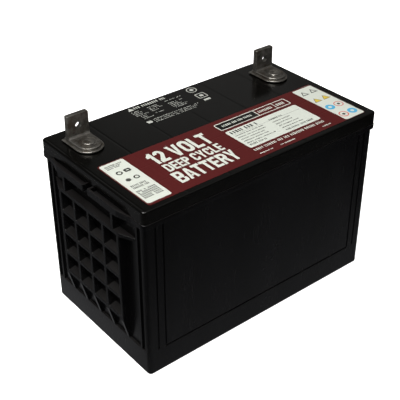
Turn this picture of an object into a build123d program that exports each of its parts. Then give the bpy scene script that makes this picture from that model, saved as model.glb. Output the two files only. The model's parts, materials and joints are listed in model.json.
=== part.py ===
from build123d import *
import os
import math

# Deep cycle battery, twelve volts: a moulded case with six cells, a welded lid,
# two L-shaped lead terminals, and one relief valve over each cell.
# Millimetres. +X along the length, +Y towards the terminal side, +Z up.
# Origin: centre of the footprint, on the surface that the battery stands on.

os.makedirs("parts", exist_ok=True)

# ---------------------------------------------------------------- dimensions
BODY_HX = 153.0        # half length of the case over its corner posts
BODY_HY = 86.0         # half width of the case
BODY_R = 4.5           # vertical corner radius of the case
BASE_R = 1.8           # radius round the bottom edge
PLINTH_Z = 28.8        # height of the plain band round the foot
BEAD_HX = 155.1        # half length over the rim bead
BEAD_HY = 88.6         # half width over the rim bead
BEAD_Z0 = 180.1        # underside of the rim bead
BEAD_Z1 = 186.0        # top of the rim bead
BEAD_R = 5.5
NECK_Z = 188.9         # top of the case wall and partitions, inside the lid
NECK_HX = 151.2
NECK_HY = 84.8

WALL_X = 150.7         # outside of the end wall between the corner posts
CAV_HX = 148.2         # inside of the end walls
CAV_HY = 82.2          # inside of the long walls
FLOOR_Z = 3.5          # inside of the floor
PITCH = 50.5           # spacing of the cell partitions
PART_T = 2.0           # thickness of a partition

RIB_X = 159.3          # outer face of the end ribs
RIB_T = 3.7            # thickness of an end rib
RIB_PITCH_Y = 25.4
RIB_Z = (56.3, 82.15, 108.0, 133.85, 159.7)
POST_IN = 72.0         # inner edge of a corner post, from the centre line
POST_G0 = 74.6         # groove in a corner post, from the centre line
POST_G1 = 80.0
LEDGE_X = 160.0        # outer face of the lift ledge
LEDGE_Z0 = 180.4
LEDGE_Z1 = 187.2
LEDGE_GAP = 3.75       # half of the gap between the two ledge halves
GRIP_RIB_Y = 42.0      # ribs inside the finger recess

LID_HX = 154.5
LID_HY = 88.2
LID_R = 5.0
LID_Z0 = 186.5         # lower edge of the lid's skirt
LID_TOP = 200.2
LID_EDGE_R = 1.8
LID_PLATE = 4.0        # thickness of the lid's top plate
SKIRT_NOTCH_Z = 189.8  # lower edge of the skirt above the lift ledges

TERM_X = 126.2         # terminals, from the centre
POST_Y = 42.2
POST_RAD = 6.3         # radius of the lead post
FLANGE_R = 15.2        # front radius of the terminal flange
FLANGE_Y1 = 69.0       # rear edge of the flange
FLANGE_TOP = 202.7
PLATEAU_TOP = 205.5
PLATEAU_R = 12.9
BLADE_Y0 = 59.3
BLADE_Y1 = 64.8
BLADE_TOP = 230.5
BLADE_HX0 = 12.8       # half width of the blade at its foot
BLADE_HX1 = 12.4       # and at its top
PAD_TOP = 201.1        # raised pads under the terminals
POST_TOP = 207.1
BLADE_HOLE_Z = 217.8
BLADE_HOLE_R = 3.6

VENT_Y0, VENT_Y1 = -54.0, -24.0    # vent cover, front and rear edges
VENT_HX = 140.0
COVER_T = 2.5
TROUGH_FLOOR = 189.1               # floor of the vent trough
CHIM_R = 4.3
CHIM_BORE = 1.6
CHIM_TOP = 194.9
CAP_R = 6.0
CAP_H0 = 189.7
CAP_H1 = 196.5
BARREL_Z0 = 191.3      # bottom of the terminal barrels in the lid
TOWER_Z0 = 186.9       # bottom of the lid's towers round them
PORT_Z = 193.3         # height of the gas port

CELLS = 6


# ------------------------------------------------------------------- helpers
def rbox(hx, hy, z0, z1, r):
    return Pos(0, 0, z0) * extrude(RectangleRounded(2 * hx, 2 * hy, r), z1 - z0)


def blk(x0, x1, y0, y1, z0, z1):
    return Pos((x0 + x1) / 2, (y0 + y1) / 2, (z0 + z1) / 2) * Box(
        abs(x1 - x0), abs(y1 - y0), abs(z1 - z0))


def cyl(x, y, z0, z1, r):
    return Pos(x, y, z0) * extrude(Circle(r), z1 - z0)


def prism_xz(pts, y0, y1):
    face = make_face(Polyline(*[(x, y0, z) for x, z in pts], close=True))
    return extrude(face, amount=y1 - y0, dir=(0, 1, 0))


def prism_yz(pts, x0, x1):
    face = make_face(Polyline(*[(x0, y, z) for y, z in pts], close=True))
    return extrude(face, amount=x1 - x0, dir=(1, 0, 0))


def prism_xy(pts, z0, z1):
    face = make_face(Polyline(*[(x, y, z0) for x, y in pts], close=True))
    return extrude(face, amount=z1 - z0, dir=(0, 0, 1))


def solids_of(shape):
    return list(shape.solids()) if hasattr(shape, "solids") else [shape]


def group(*shapes):
    out = []
    for s in shapes:
        out += solids_of(s)
    return out[0] if len(out) == 1 else Compound(children=out)


def save(name, shape):
    export_step(shape, f"parts/{name}.step")
    n = len(shape.solids())
    print(f"{name:28s} solids {n:3d}  volume {shape.volume / 1000:9.2f} cm3")


def edges_at(shape, axis, value, tol=0.02):
    return shape.edges().filter_by_position(axis, value - tol, value + tol)


# ---------------------------------------------------------------------- case
def end_ribs():
    """Egg-crate ribs, finger recess and lift ledge on the +X end."""
    half = 2 * RIB_PITCH_Y + RIB_T / 2
    zf = RIB_Z[4]
    back = WALL_X - 0.6
    core = prism_xz([(back, PLINTH_Z), (153.4, PLINTH_Z + 1.0), (RIB_X, 53.0),
                     (RIB_X, zf + RIB_T / 2), (back, zf + RIB_T / 2)],
                    -half, half)
    wy = RIB_PITCH_Y - RIB_T
    for k in (-1.5, -0.5, 0.5, 1.5):
        yc = k * RIB_PITCH_Y
        for i in range(4):
            z0, z1 = RIB_Z[i] + RIB_T / 2, RIB_Z[i + 1] - RIB_T / 2
            prof = RectangleRounded(z1 - z0, wy, 1.2)
            core -= Pos(RIB_X + 1, yc, (z0 + z1) / 2) * Rot(0, -90, 0) * extrude(
                prof, RIB_X + 1 - WALL_X)
    # round the rims of the pockets and the outer upright edges
    rims = []
    for f in core.faces().filter_by_position(Axis.X, RIB_X - 0.02, RIB_X + 0.02):
        for w in f.inner_wires():
            rims += list(w.edges())
    core = fillet(rims, 0.55)
    ups = [e for e in edges_at(core, Axis.X, RIB_X).filter_by(Axis.Z)
           if abs(abs(e.center().Y) - half) < 0.01]
    core = fillet(ups, 0.8)
    for k in (-1.5, -0.5, 0.5, 1.5):
        yc = k * RIB_PITCH_Y
        core -= blk(WALL_X, RIB_X + 1, yc - wy / 2, yc + wy / 2,
                    PLINTH_Z - 1, RIB_Z[0] - RIB_T / 2)
    # shelf over the ribs runs out to the corner posts as a trapezoid
    shelf = prism_xy([(back, -POST_IN - 0.5), (WALL_X, -POST_IN - 0.5), (RIB_X, -half),
                      (RIB_X, half), (WALL_X, POST_IN + 0.5), (back, POST_IN + 0.5)],
                     zf - RIB_T / 2, zf + RIB_T / 2)
    top_edges = [e for e in shelf.edges().group_by(Axis.Z)[-1] if e.center().X > WALL_X + 0.5]
    shelf = fillet(top_edges, 0.6)
    core += shelf
    # drafted pocket floors, rising towards the wall
    for k in (-1.5, -0.5, 0.5, 1.5):
        yc = k * RIB_PITCH_Y
        for i in range(4):
            z0 = RIB_Z[i] + RIB_T / 2
            core += prism_xz([(back, z0 - 0.3), (RIB_X - 0.8, z0 - 0.3),
                              (RIB_X - 0.8, z0), (back, z0 + 1.9)],
                             yc - wy / 2, yc + wy / 2)
    # shelf top is drafted too
    core += prism_xy([(back, -POST_IN + 1.5), (RIB_X - 4.0, -half - 4.0),
                      (RIB_X - 4.0, half + 4.0), (back, POST_IN - 1.5)],
                     zf + RIB_T / 2 - 0.2, zf + RIB_T / 2 + 0.01)
    return core


def grip_rib():
    """Upright rib inside the finger recess, from the shelf to the ledge, at +Y."""
    rib = prism_xz([(WALL_X - 0.6, RIB_Z[4] + 1), (RIB_X - 0.4, RIB_Z[4] + 1),
                    (RIB_X - 0.4, LEDGE_Z0 + 0.5), (WALL_X - 0.6, LEDGE_Z0 + 0.5)],
                   GRIP_RIB_Y - RIB_T / 2, GRIP_RIB_Y + RIB_T / 2)
    return fillet(edges_at(rib, Axis.X, RIB_X - 0.4).filter_by(Axis.Z), 0.5)


def ledge_half():
    """One half of the lift ledge on the +X end, at +Y: a small open trough."""
    hy = 52.0
    t = 2.2
    x0 = WALL_X - 0.6
    outer = prism_xy([(x0, LEDGE_GAP), (LEDGE_X, LEDGE_GAP), (LEDGE_X, hy),
                      (153.6, 74.0), (x0, 74.0)], LEDGE_Z0, LEDGE_Z1)
    # the sloping run drops towards the rim bead
    outer -= prism_yz([(hy + 1, LEDGE_Z1 + 0.01), (75.0, BEAD_Z1 - 0.6), (75.0, LEDGE_Z1 + 2),
                       (hy + 1, LEDGE_Z1 + 2)], x0 - 1, LEDGE_X + 1)
    k = (LEDGE_X - 153.6) / (74.0 - hy)
    cut = prism_xy([(x0 - 1, LEDGE_GAP + 2.4), (LEDGE_X - t, LEDGE_GAP + 2.4),
                    (LEDGE_X - t, hy - 0.8), (LEDGE_X - t - 17.0 * k, hy - 0.8 + 17.0),
                    (x0 - 1, hy - 0.8 + 17.0)], LEDGE_Z0 + 2.0, LEDGE_Z1 + 1)
    outer = fillet(outer.edges().filter_by(Axis.Z).filter_by_position(
        Axis.X, LEDGE_X - 0.1, LEDGE_X + 0.1), 1.2)
    outer -= cut
    return outer


def make_case():
    body = rbox(BODY_HX, BODY_HY, 0, BEAD_Z1, BODY_R)
    body = fillet(body.edges().group_by(Axis.Z)[0], BASE_R)
    bead = rbox(BEAD_HX, BEAD_HY, BEAD_Z0, BEAD_Z1, BEAD_R)
    bead = fillet(bead.edges().group_by(Axis.Z)[-1], 0.5)
    bead = fillet(bead.edges().group_by(Axis.Z)[0], 1.2)
    case = body + bead
    case += rbox(NECK_HX, NECK_HY, BEAD_Z1 - 1, NECK_Z, 3.5)

    # end walls stand back between the corner posts
    for s in (1, -1):
        case -= blk(s * WALL_X, s * (BODY_HX + 1), -POST_IN, POST_IN, PLINTH_Z, BEAD_Z0)
        # above the ledge the wall is also set back, under the lid's notch
        case -= blk(s * (NECK_HX), s * (BEAD_HX + 1), -68.0, 68.0, LEDGE_Z0 + 2.0, BEAD_Z1 + 1)
        case -= blk(s * (WALL_X), s * (BEAD_HX + 1), -LEDGE_GAP, LEDGE_GAP, BEAD_Z0 - 1, BEAD_Z1 + 1)
        for q in (1, -1):
            case -= blk(s * (BODY_HX - 1.8), s * (BODY_HX + 1), q * POST_G0, q * POST_G1,
                        PLINTH_Z, BEAD_Z0 - 0.6)
    # grooves on the long faces
    for s in (1, -1):
        y0, y1 = s * (BODY_HY - 1.0), s * (BODY_HY + 1)
        for q in (1, -1):
            for xg in (140.7, 131.7):
                case -= blk(q * (xg - 1.1), q * (xg + 1.1), y0, y1, PLINTH_Z + 0.5, BEAD_Z0 - 0.8)
        case -= blk(-131.7, 131.7, y0, y1, PLINTH_Z - 0.8, PLINTH_Z + 1.6)

    # inside of the shell
    case -= blk(-CAV_HX, CAV_HX, -CAV_HY, CAV_HY, FLOOR_Z, NECK_Z + 1)
    return case


def end_frame(case):
    """What stands out from the +X end wall: plinth, two corner posts and rim, four bars."""
    out = case & blk(WALL_X, 170, -100, 100, -1, NECK_Z + 1)
    low = out & blk(WALL_X, 170, -100, 100, -1, PLINTH_Z)
    top = out & blk(WALL_X, 170, -100, 100, BEAD_Z0, NECK_Z + 1)
    posts = [out & blk(WALL_X, 170, s * 60, s * 100, PLINTH_Z, BEAD_Z0) for s in (1, -1)]
    return group(low, top, *posts)


def make_partitions():
    """Walls between the cells, each with the window for its intercell weld."""
    out = []
    for n in range(1, CELLS):
        xp = (n - 3) * PITCH
        yw = -POST_Y if n % 2 == 1 else POST_Y
        wall = blk(xp - PART_T / 2, xp + PART_T / 2, -CAV_HY, CAV_HY, FLOOR_Z, NECK_Z)
        wall -= Pos(xp - PART_T, yw, 174.0) * Rot(0, 90, 0) * extrude(Circle(6.0), 2 * PART_T)
        out.append(wall)
    return group(*out)


# ----------------------------------------------------------------- terminals
def u_plate(r, y1, z0, z1):
    """Plate with a half-round front about the post, square at the rear."""
    p = cyl(0, POST_Y, z0, z1, r)
    p += blk(-r, r, POST_Y, y1, z0, z1)
    return p


def make_terminal():
    flange = u_plate(FLANGE_R, FLANGE_Y1, PAD_TOP, FLANGE_TOP)
    flange = fillet(flange.edges().group_by(Axis.Z)[-1], 0.7)
    flange = fillet(flange.edges().group_by(Axis.Z)[0], 0.4)
    plateau = u_plate(PLATEAU_R, BLADE_Y1 + 1.6, FLANGE_TOP - 0.4, PLATEAU_TOP)
    plateau = fillet(plateau.edges().group_by(Axis.Z)[-1], 0.9)
    blade = prism_xz([(-BLADE_HX0, FLANGE_TOP), (BLADE_HX0, FLANGE_TOP),
                      (BLADE_HX1, BLADE_TOP), (-BLADE_HX1, BLADE_TOP)], BLADE_Y0, BLADE_Y1)
    blade = fillet(blade.edges().filter_by(Axis.Y), 1.2)
    blade = fillet(blade.edges().group_by(Axis.Y)[0] + blade.edges().group_by(Axis.Y)[-1], 0.5)
    # cove between blade and plateau
    cove = prism_yz([(BLADE_Y0 - 2.2, PLATEAU_TOP - 0.3), (BLADE_Y0 + 0.6, PLATEAU_TOP - 0.3),
                     (BLADE_Y0 + 0.6, PLATEAU_TOP + 2.0), (BLADE_Y0, PLATEAU_TOP + 2.0),
                     (BLADE_Y0 - 0.7, PLATEAU_TOP + 0.7), (BLADE_Y0 - 2.0, PLATEAU_TOP)],
                    -12.2, 12.2)
    term = flange + plateau + blade + cove
    # barrel that is moulded into the lid, with two sealing rings
    term += cyl(0, POST_Y, BARREL_Z0, PAD_TOP + 0.4, 9.6)
    term += cyl(0, POST_Y, BARREL_Z0 + 1.6, BARREL_Z0 + 3.0, 11.2)
    term += cyl(0, POST_Y, BARREL_Z0 + 5.2, BARREL_Z0 + 6.6, 11.2)
    # bore for the post, and the shallow ring cast round it
    term -= cyl(0, POST_Y, BARREL_Z0 - 2, PLATEAU_TOP + 4, POST_RAD)
    ring = cyl(0, POST_Y, PLATEAU_TOP - 0.6, PLATEAU_TOP + 1, 10.4) - cyl(
        0, POST_Y, PLATEAU_TOP - 0.7, PLATEAU_TOP + 2, 8.6)
    term -= ring
    term -= Pos(0, BLADE_Y1 + 5, BLADE_HOLE_Z) * Rot(90, 0, 0) * extrude(Circle(BLADE_HOLE_R), 20)
    return term


def make_post():
    z0 = 165.0
    p = cyl(0, POST_Y, z0, POST_TOP, POST_RAD)
    p = fillet(p.edges().group_by(Axis.Z)[-1], 1.2)
    p -= cyl(0, POST_Y, POST_TOP - 0.5, POST_TOP + 2, 2.6)
    return p


# ----------------------------------------------------------------------- lid
def make_lid(terminals):
    """Top plate of the lid, with its pads, the seat of the vent cover and the terminals' holes."""
    z0 = LID_TOP - LID_PLATE
    lid = rbox(LID_HX, LID_HY, z0, LID_TOP, LID_R)
    lid = fillet(lid.edges().group_by(Axis.Z)[-1], LID_EDGE_R)
    for s in (1, -1):
        lid += Pos(s * TERM_X, 0, 0) * u_plate(FLANGE_R - 2.2, FLANGE_Y1 - 2.2, LID_TOP - 1, PAD_TOP)
    lid -= blk(-VENT_HX, VENT_HX, VENT_Y0, VENT_Y1, LID_TOP - COVER_T, LID_TOP + 1)
    lid -= blk(-VENT_HX + 3, VENT_HX - 3, VENT_Y0 + 3, VENT_Y1 - 3, z0 - 1, LID_TOP)
    for t in terminals:
        lid -= t
    for s in (1, -1):
        lid -= cyl(s * TERM_X, POST_Y, z0 - 1, PAD_TOP + 1, POST_RAD)
    lid -= Pos(VENT_HX - 3.1, -39.0, PORT_Z) * Rot(0, 90, 0) * extrude(Circle(3.6), 3.1)
    return lid


def make_skirt():
    """Rim of the lid, in bars, stepped inside for the neck of the case."""
    z1 = LID_TOP - LID_PLATE
    ring = rbox(LID_HX, LID_HY, LID_Z0, z1, LID_R)
    ring -= rbox(NECK_HX + 0.15, NECK_HY + 0.15, LID_Z0 - 1, NECK_Z, 3.6)
    ring -= blk(-CAV_HX, CAV_HX, -CAV_HY, CAV_HY, LID_Z0 - 1, z1 + 1)
    # notched over the lift ledges
    for s in (1, -1):
        ring -= prism_yz([(-73, LID_Z0 - 0.01), (73, LID_Z0 - 0.01), (60, SKIRT_NOTCH_Z),
                          (-60, SKIRT_NOTCH_Z)], s * 153.0 - 2.0 + (0 if s > 0 else -3),
                         s * 153.0 + 2.0 + (3 if s > 0 else 0))
    # gas port through the +X end
    ring -= Pos(VENT_HX - 1, -39.0, PORT_Z) * Rot(0, 90, 0) * extrude(Circle(1.2), 30)
    bars = []
    for s in (1, -1):
        bars.append(ring & blk(-LID_HX - 1, LID_HX + 1, s * CAV_HY, s * (LID_HY + 1), LID_Z0 - 1, z1 + 1))
        # the end bars are in three: one over the notch, and a foot either side of it
        bars.append(ring & blk(s * CAV_HX, s * (LID_HX + 1), -CAV_HY, CAV_HY, SKIRT_NOTCH_Z, z1 + 1))
        for q in (1, -1):
            bars.append(ring & blk(s * CAV_HX, s * (LID_HX + 1), q * 60.0, q * CAV_HY, LID_Z0 - 1, SKIRT_NOTCH_Z))
        bars.append(ring & blk(s * CAV_HX, s * (LID_HX + 1), -60.0, 60.0, NECK_Z, SKIRT_NOTCH_Z))
    return group(*bars)


def make_lid_ribs():
    """Ribs under the lid that are welded to the cell partitions."""
    z1 = LID_TOP - LID_PLATE
    out = []
    for n in range(1, CELLS):
        xp = (n - 3) * PITCH
        for y0, y1 in ((-CAV_HY, VENT_Y0 - 1), (VENT_Y1 + 1, CAV_HY)):
            out.append(blk(xp - PART_T / 2, xp + PART_T / 2, y0, y1, NECK_Z, z1))
    return group(*out)


def make_trough():
    """Vent channel under the lid: floor, four walls, and a chimney over each cell."""
    z0, z1 = TROUGH_FLOOR - 2.4, LID_TOP - LID_PLATE
    x0, x1 = VENT_HX - 3, VENT_HX
    floor = blk(-x1, x1, VENT_Y0 - 1, VENT_Y1 + 1, z0, TROUGH_FLOOR)
    for n in range(1, CELLS):
        xp = (n - 3) * PITCH
        floor -= blk(xp - PART_T / 2 - 0.1, xp + PART_T / 2 + 0.1, VENT_Y0 - 2, VENT_Y1 + 2, z0 - 1, NECK_Z)
    parts = []
    for x in cell_x():
        floor -= cyl(x, -39.0, z0 - 1, TROUGH_FLOOR + 1, CHIM_BORE)
        parts.append(cyl(x, -39.0, TROUGH_FLOOR, CHIM_TOP, CHIM_R) - cyl(
            x, -39.0, TROUGH_FLOOR - 1, CHIM_TOP + 1, CHIM_BORE))
    parts.append(floor)
    parts.append(blk(-x1, x1, VENT_Y0 - 1, VENT_Y0 + 3, TROUGH_FLOOR, z1))
    parts.append(blk(-x1, x1, VENT_Y1 - 3, VENT_Y1 + 1, TROUGH_FLOOR, z1))
    parts.append(blk(-x1, -x0, VENT_Y0 + 3, VENT_Y1 - 3, TROUGH_FLOOR, z1))
    end = blk(x0, x1, VENT_Y0 + 3, VENT_Y1 - 3, TROUGH_FLOOR, z1)
    # the +X end holds the flame arrestor in front of the gas port
    end -= Pos(VENT_HX - 3.1, -39.0, PORT_Z) * Rot(0, 90, 0) * extrude(Circle(3.6), 3.1 - 0.6)
    end -= Pos(VENT_HX - 1, -39.0, PORT_Z) * Rot(0, 90, 0) * extrude(Circle(1.2), 30)
    parts.append(end)
    return group(*parts)


def make_towers(terminals):
    """Towers under the lid round the terminal barrels, with a seat for the post seals."""
    out = []
    for s, t in zip((-1, 1), terminals):
        tower = cyl(s * TERM_X, POST_Y, TOWER_Z0, LID_TOP - LID_PLATE, 14.0)
        tower -= t
        tower -= cyl(s * TERM_X, POST_Y, TOWER_Z0 - 1, PAD_TOP + 1, POST_RAD)
        tower -= cyl(s * TERM_X, POST_Y, TOWER_Z0 + 1.0, BARREL_Z0, 9.4)
        out.append(tower)
    return group(*out)


def cell_x():
    xs = []
    for n in range(CELLS):
        if n == 0:
            xs.append(-124.7)
        elif n == CELLS - 1:
            xs.append(124.7)
        else:
            xs.append((n - 2.5) * PITCH)
    return xs


def make_cap(x):
    cap = cyl(x, -39.0, CAP_H0, CAP_H1, CAP_R)
    cap = fillet(cap.edges().group_by(Axis.Z)[-1], 0.8)
    cap -= cyl(x, -39.0, CAP_H0 - 1, CHIM_TOP + 0.06, CHIM_R + 0.06)
    return cap


# --------------------------------------------------------------------- cells
T_POS, T_NEG, T_SEP = 2.9, 1.85, 0.78
PLATE_HY = 77.5
PLATE_Z0, PLATE_Z1 = 5.4, 150.0
LUG_W = 13.0
STRAP_Z0, STRAP_Z1 = 158.0, 165.0


def plate(x0, t, ylug):
    p = blk(x0, x0 + t, -PLATE_HY, PLATE_HY, PLATE_Z0, PLATE_Z1)
    p += blk(x0, x0 + t, ylug - LUG_W / 2, ylug + LUG_W / 2, PLATE_Z1 - 1, STRAP_Z0)
    return p


def make_cell(n):
    """Plates, separators and straps of cell n, counted from the -X end."""
    x0 = -CAV_HX if n == 0 else (n - 3) * PITCH + PART_T / 2
    x1 = CAV_HX if n == CELLS - 1 else (n - 2) * PITCH - PART_T / 2
    total = 7 * T_POS + 8 * T_NEG + 14 * T_SEP
    x = (x0 + x1) / 2 - total / 2
    pos_y = POST_Y if n % 2 == 0 else -POST_Y
    neg_y = -pos_y
    pos, neg, sep = [], [], []
    left = x
    for i in range(15):
        if i % 2 == 0:
            neg.append(plate(x, T_NEG, neg_y))
            x += T_NEG
        else:
            # glass mat folded under the positive plate
            w0 = x
            wrap = blk(w0, w0 + T_SEP, -79.5, 79.5, 4.4, 155.0)
            wrap += blk(w0 + T_SEP + T_POS, w0 + 2 * T_SEP + T_POS, -79.5, 79.5, 4.4, 155.0)
            wrap += blk(w0, w0 + 2 * T_SEP + T_POS, -79.5, 79.5, 4.4, PLATE_Z0)
            sep.append(wrap)
            pos.append(plate(w0 + T_SEP, T_POS, pos_y))
            x += 2 * T_SEP + T_POS
    right = x

    def strap(y, to):
        """Cast strap over the lugs; to = -1 or +1 reaches that partition, 0 carries a post."""
        a, b = left + 0.5, right - 0.5
        s = blk(a, b, y - 9.0, y + 9.0, STRAP_Z0, STRAP_Z1)
        s = fillet(s.edges().filter_by(Axis.X).group_by(Axis.Z)[-1], 1.5)
        if to:
            edge = x1 if to > 0 else x0
            near = b if to > 0 else a
            s += blk(min(edge, near - to * 3), max(edge, near - to * 3), y - 9.0, y + 9.0,
                     STRAP_Z0, STRAP_Z1)
            t = blk(min(edge, edge - to * 4), max(edge, edge - to * 4), y - 10, y + 10,
                    STRAP_Z0, 183.0)
            t = fillet(t.edges().filter_by(Axis.X).group_by(Axis.Z)[-1], 5.0)
            s += t
        return s

    # the current runs from the -X end to the +X end, crossing over in each cell
    pos_strap = strap(pos_y, -1 if n > 0 else 0)
    neg_strap = strap(neg_y, 1 if n < CELLS - 1 else 0)
    return group(*pos), group(*neg), group(*sep), pos_strap, neg_strap


# --------------------------------------------------------------------- build
case = make_case()
shell = case & blk(-WALL_X, WALL_X, -100, 100, -1, NECK_Z + 1)
save("case", shell)
frame_r = end_frame(case)
save("end_frame_right", frame_r)
save("end_frame_left", group(*[mirror(p, about=Plane.YZ) for p in frame_r.solids()]))
ribs = end_ribs() - case
save("end_ribs_right", ribs)
save("end_ribs_left", mirror(ribs, about=Plane.YZ))
lh = ledge_half() - case
gr = (grip_rib() - case) - ribs - lh
ledges = group(lh, gr, mirror(lh, about=Plane.XZ), mirror(gr, about=Plane.XZ))
save("lift_ledges_right", ledges)
save("lift_ledges_left", group(*[mirror(p, about=Plane.YZ) for p in ledges.solids()]))
save("cell_partitions", make_partitions())

term = make_terminal()
term_l = Pos(-TERM_X, 0, 0) * term
term_r = Pos(TERM_X, 0, 0) * term
save("terminal_positive", term_l)
save("terminal_negative", term_r)

post = make_post()
save("post_positive", Pos(-TERM_X, 0, 0) * post)
save("post_negative", Pos(TERM_X, 0, 0) * post)

seal = cyl(0, POST_Y, TOWER_Z0 + 1.0, BARREL_Z0, 9.4) - cyl(
    0, POST_Y, TOWER_Z0, BARREL_Z0 + 1, POST_RAD)
save("post_seal_positive", Pos(-TERM_X, 0, 0) * seal)
save("post_seal_negative", Pos(TERM_X, 0, 0) * seal)

lid = make_lid([term_l, term_r])
save("lid", lid)
save("lid_skirt", make_skirt())
save("lid_ribs", make_lid_ribs())
save("vent_trough", make_trough())
save("terminal_towers", make_towers([term_l, term_r]))

cover = blk(-VENT_HX + 0.15, VENT_HX - 0.15, VENT_Y0 + 0.15, VENT_Y1 - 0.15,
            LID_TOP - COVER_T, LID_TOP)
cover = fillet(cover.edges().filter_by(Axis.Z), 1.5)
save("vent_cover", cover)

label = Pos(0.9, -38.4, LID_TOP) * extrude(RectangleRounded(286.8, 85.4, 3.0), 0.16)
save("top_label", label)

arrestor = Pos(VENT_HX - 3.0, -39.0, PORT_Z) * Rot(0, 90, 0) * extrude(Circle(3.6), 2.4)
save("flame_arrestor", arrestor)

for i, x in enumerate(cell_x()):
    save(f"valve_cap_{i + 1}", make_cap(x))

for n in range(CELLS):
    pos, neg, sep, ps, ns = make_cell(n)
    c = n + 1
    save(f"cell_{c}_positive_plates", pos)
    save(f"cell_{c}_negative_plates", neg)
    save(f"cell_{c}_separators", sep)
    save(f"cell_{c}_positive_strap", ps)
    save(f"cell_{c}_negative_strap", ns)

welds = []
for n in range(1, CELLS):
    xp = (n - 3) * PITCH
    yw = -POST_Y if n % 2 == 1 else POST_Y
    welds.append(Pos(xp - PART_T / 2, yw, 174.0) * Rot(0, 90, 0) * extrude(Circle(6.0), PART_T))
save("intercell_welds", group(*welds))
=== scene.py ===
import bpy
import bmesh
import json
import math
import random
from mathutils import Matrix, Vector


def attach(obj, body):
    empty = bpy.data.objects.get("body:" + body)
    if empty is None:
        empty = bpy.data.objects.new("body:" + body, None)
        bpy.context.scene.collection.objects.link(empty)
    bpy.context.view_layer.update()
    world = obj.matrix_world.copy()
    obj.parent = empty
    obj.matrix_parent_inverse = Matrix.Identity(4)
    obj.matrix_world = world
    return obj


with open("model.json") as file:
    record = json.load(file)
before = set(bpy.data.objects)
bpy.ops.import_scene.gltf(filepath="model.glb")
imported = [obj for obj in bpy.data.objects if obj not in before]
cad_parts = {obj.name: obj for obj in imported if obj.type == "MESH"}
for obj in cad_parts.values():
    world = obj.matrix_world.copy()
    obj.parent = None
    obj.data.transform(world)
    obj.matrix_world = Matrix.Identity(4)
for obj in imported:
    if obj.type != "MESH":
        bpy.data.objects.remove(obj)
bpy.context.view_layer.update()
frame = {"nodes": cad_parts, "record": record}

nodes = frame["nodes"]


MM = 0.001

# ------------------------------------------------------------------ node help


class Tree:
    """Small helper that builds a material's node tree."""

    def __init__(self, name):
        self.mat = bpy.data.materials.new(name)
        self.mat.use_nodes = True
        self.t = self.mat.node_tree
        self.t.nodes.clear()
        self.out = self.t.nodes.new("ShaderNodeOutputMaterial")
        self.bsdf = self.t.nodes.new("ShaderNodeBsdfPrincipled")
        self.t.links.new(self.bsdf.outputs[0], self.out.inputs["Surface"])
        self.co = self.t.nodes.new("ShaderNodeTexCoord").outputs["Object"]

    def link(self, a, b):
        self.t.links.new(a, b)

    def put(self, socket, value):
        if isinstance(value, bpy.types.NodeSocket):
            self.t.links.new(value, socket)
        else:
            socket.default_value = value

    def scaled(self, scale):
        n = self.t.nodes.new("ShaderNodeMapping")
        n.inputs["Scale"].default_value = scale
        self.link(self.co, n.inputs["Vector"])
        return n.outputs[0]

    def noise(self, scale, detail=3.0, rough=0.55, vec=None, distortion=0.0):
        n = self.t.nodes.new("ShaderNodeTexNoise")
        n.inputs["Scale"].default_value = scale
        n.inputs["Detail"].default_value = detail
        n.inputs["Roughness"].default_value = rough
        n.inputs["Distortion"].default_value = distortion
        self.link(vec if vec is not None else self.co, n.inputs["Vector"])
        return n.outputs["Fac"]

    def voronoi(self, scale, feature="F1", vec=None, out="Distance"):
        n = self.t.nodes.new("ShaderNodeTexVoronoi")
        n.feature = feature
        n.inputs["Scale"].default_value = scale
        self.link(vec if vec is not None else self.co, n.inputs["Vector"])
        return n.outputs[out]

    def ramp(self, fac, stops, interp="LINEAR"):
        n = self.t.nodes.new("ShaderNodeValToRGB")
        n.color_ramp.interpolation = interp
        e = n.color_ramp.elements
        while len(e) < len(stops):
            e.new(0.5)
        for el, (p, c) in zip(e, stops):
            el.position = p
            el.color = (c, c, c, 1) if not hasattr(c, "__len__") else (*c[:3], 1)
        self.link(fac, n.inputs[0])
        return n.outputs[0]

    def math(self, op, a, b=0.0, c=0.0, clamp=False):
        n = self.t.nodes.new("ShaderNodeMath")
        n.operation = op
        n.use_clamp = clamp
        for s, v in zip(n.inputs, (a, b, c)):
            self.put(s, v)
        return n.outputs[0]

    def mix(self, fac, a, b, kind="MIX"):
        n = self.t.nodes.new("ShaderNodeMix")
        n.data_type = "RGBA"
        n.blend_type = kind
        self.put(n.inputs[0], fac)
        for s, v in ((n.inputs[6], a), (n.inputs[7], b)):
            self.put(s, (*v, 1) if isinstance(v, tuple) and len(v) == 3 else v)
        return n.outputs[2]

    def xyz(self):
        n = self.t.nodes.new("ShaderNodeSeparateXYZ")
        self.link(self.co, n.inputs[0])
        return n.outputs

    def normal(self):
        n = self.t.nodes.new("ShaderNodeNewGeometry")
        s = self.t.nodes.new("ShaderNodeSeparateXYZ")
        self.link(n.outputs["Normal"], s.inputs[0])
        return s.outputs

    def bump(self, height, distance, strength=1.0, below=None):
        n = self.t.nodes.new("ShaderNodeBump")
        n.inputs["Strength"].default_value = strength
        n.inputs["Distance"].default_value = distance
        self.link(height, n.inputs["Height"])
        if below is not None:
            self.link(below, n.inputs["Normal"])
        return n.outputs[0]

    def set(self, **kw):
        names = {"color": "Base Color", "rough": "Roughness", "metal": "Metallic",
                 "spec": "Specular IOR Level", "normal": "Normal", "coat": "Coat Weight",
                 "coat_rough": "Coat Roughness", "sheen": "Sheen Weight", "ior": "IOR",
                 "sss": "Subsurface Weight"}
        for k, v in kw.items():
            s = self.bsdf.inputs[names[k]]
            self.put(s, (*v, 1) if isinstance(v, tuple) and len(v) == 3 else v)
        return self.mat


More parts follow.
